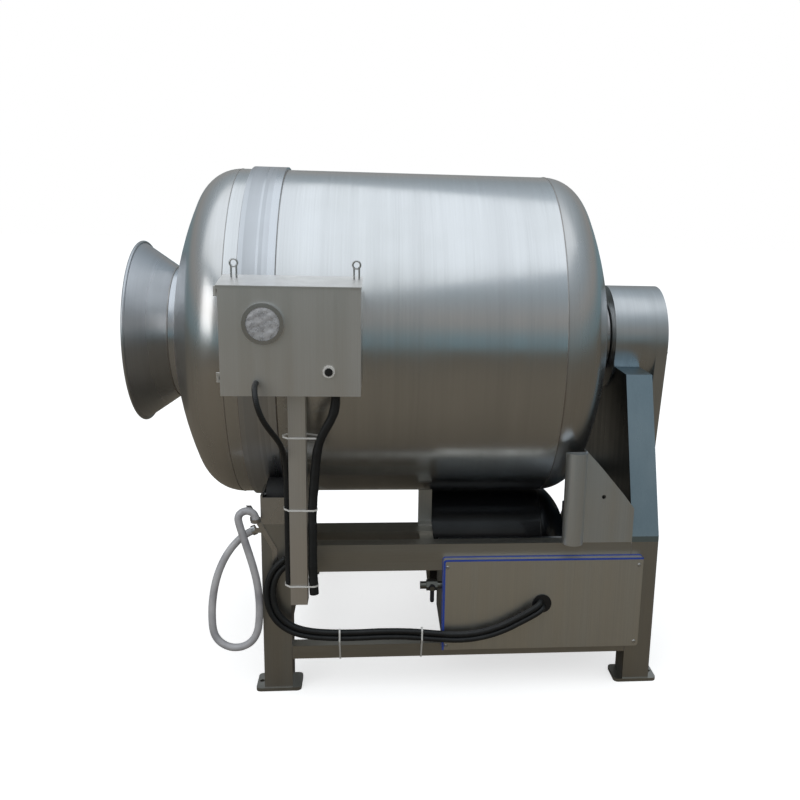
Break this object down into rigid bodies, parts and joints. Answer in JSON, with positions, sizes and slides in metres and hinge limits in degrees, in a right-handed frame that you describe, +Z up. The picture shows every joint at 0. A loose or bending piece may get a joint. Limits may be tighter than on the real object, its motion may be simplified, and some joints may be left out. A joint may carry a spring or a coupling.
{
  "type": "meat vacuum tumbler",
  "caption": "Stainless vacuum tumbler: a horizontal dished drum with a loading cone, on a square-tube stand with a control box, a tank and a side cabinet.",
  "frame": {"origin": "on the floor, at the centre of the four anchor holes", "axes": "+Z up; +X along the drum's axis from the loading cone to the drive; -Y is the near side with the control box"},
  "size_m": [1.631, 1.2143, 1.498],
  "materials": {
    "drum": "satin",
    "housing": "satin",
    "frame": "satin",
    "cabinet": "satin",
    "panel": "satin",
    "plated": "polished",
    "iron": "satin",
    "motor": "satin",
    "tank": "gloss",
    "lever": "satin",
    "nylon": "matte",
    "seal": "matte",
    "gasket": "matte",
    "plastic": "matte",
    "bezel": "satin",
    "needle": "matte",
    "hose": "satin",
    "conduit": "satin"
  },
  "bodies": {
    "frame": {"leg_front_near": "frame", "leg_front_far": "frame", "leg_rear_near": "frame", "leg_rear_far": "frame", "cross_rail_front_upper": "frame", "cross_rail_front_lower": "frame", "cross_rail_rear_upper": "frame", "cross_rail_rear_lower": "frame", "rail_upper_near": "frame", "rail_upper_far": "frame", "rail_lower_near": "frame", "rail_lower_far": "frame", "inner_rail": "frame", "sensor_stand": "frame", "tank_cradles": "frame", "vacuum_tank": "tank", "pedestal": "frame", "bearing_housing": "housing", "shaft_bearings": "iron", "chain_cover": "housing", "gearmotor": "motor", "drive_guard": "frame", "cabinet_body": "cabinet", "cabinet_panel": "panel", "cabinet_gasket": "gasket", "cabinet_gland": "plastic", "cover_screws": "plated", "valve_body": "plated", "control_post": "frame", "control_box": "housing", "lifting_loops": "frame", "gauge_case": "plated", "button_bezel": "bezel", "hose_bracket": "frame", "hose_loop": "hose", "conduit_thin": "conduit", "conduit_thick": "conduit", "cabinet_lead_low": "conduit", "cabinet_lead_high": "conduit", "roller_bracket_near": "frame", "roller_bracket_far": "frame"},
    "drum": {"drum_shell": "drum", "drum_front_head": "drum", "drum_rear_head": "drum", "riding_ring": "drum", "neck_collar": "drum", "loading_cone": "drum", "mixing_flights": "drum", "hub_shaft": "drum", "driven_sprocket": "iron"},
    "lid": {"lid_disc": "drum", "lid_seal": "seal", "lid_grip": "drum"},
    "support_roller_near": {"roller_near": "nylon"},
    "support_roller_far": {"roller_far": "nylon"},
    "drive": {"drive_pinion": "iron"},
    "gauge_pointer": {"gauge_needle": "needle"},
    "push_button": {"button_cap": "plastic"},
    "valve_handle": {"valve_lever": "lever"},
    "hatch": {"side_hatch": "housing"}
  },
  "joints": [
    {"name": "drum_spin", "type": "hinge", "parent": "frame", "child": "drum", "pos_m": [0, 0, 0.99], "axis": [1, 0, 0], "continuous": true},
    {"name": "lid_slide", "type": "slide", "parent": "drum", "child": "lid", "axis": [-1, 0, 0], "range_m": [0, 0.3]},
    {"name": "roller_near_spin", "type": "hinge", "parent": "frame", "child": "support_roller_near", "pos_m": [-0.533, -0.375, 0.57625], "axis": [1, 0, 0], "continuous": true},
    {"name": "roller_far_spin", "type": "hinge", "parent": "frame", "child": "support_roller_far", "pos_m": [-0.533, 0.375, 0.57625], "axis": [1, 0, 0], "continuous": true},
    {"name": "drive_spin", "type": "hinge", "parent": "frame", "child": "drive", "pos_m": [0.634, 0, 0.33], "axis": [1, 0, 0], "continuous": true},
    {"name": "gauge_needle_turn", "type": "hinge", "parent": "frame", "child": "gauge_pointer", "pos_m": [-0.53, -0.6467, 1.104], "axis": [0, 1, 0], "range_deg": [0, 270]},
    {"name": "button_press", "type": "slide", "parent": "frame", "child": "push_button", "axis": [0, 1, 0], "range_m": [0, 0.004], "stiffness_N_per_m": 600},
    {"name": "valve_turn", "type": "hinge", "parent": "frame", "child": "valve_handle", "pos_m": [-0.09, -0.452, 0.315], "axis": [0, 1, 0], "range_deg": [0, 90]},
    {"name": "hatch_swing", "type": "hinge", "parent": "frame", "child": "hatch", "pos_m": [-0.643, -0.634, 1.0745], "axis": [0, 0, 1], "range_deg": [0, 110]}
  ],
  "couplings": [
    {"joint": "roller_near_spin", "follows": "drum_spin", "ratio": -10.16},
    {"joint": "roller_far_spin", "follows": "drum_spin", "ratio": -10.16},
    {"joint": "drive_spin", "follows": "drum_spin", "ratio": 2.625}
  ]
}
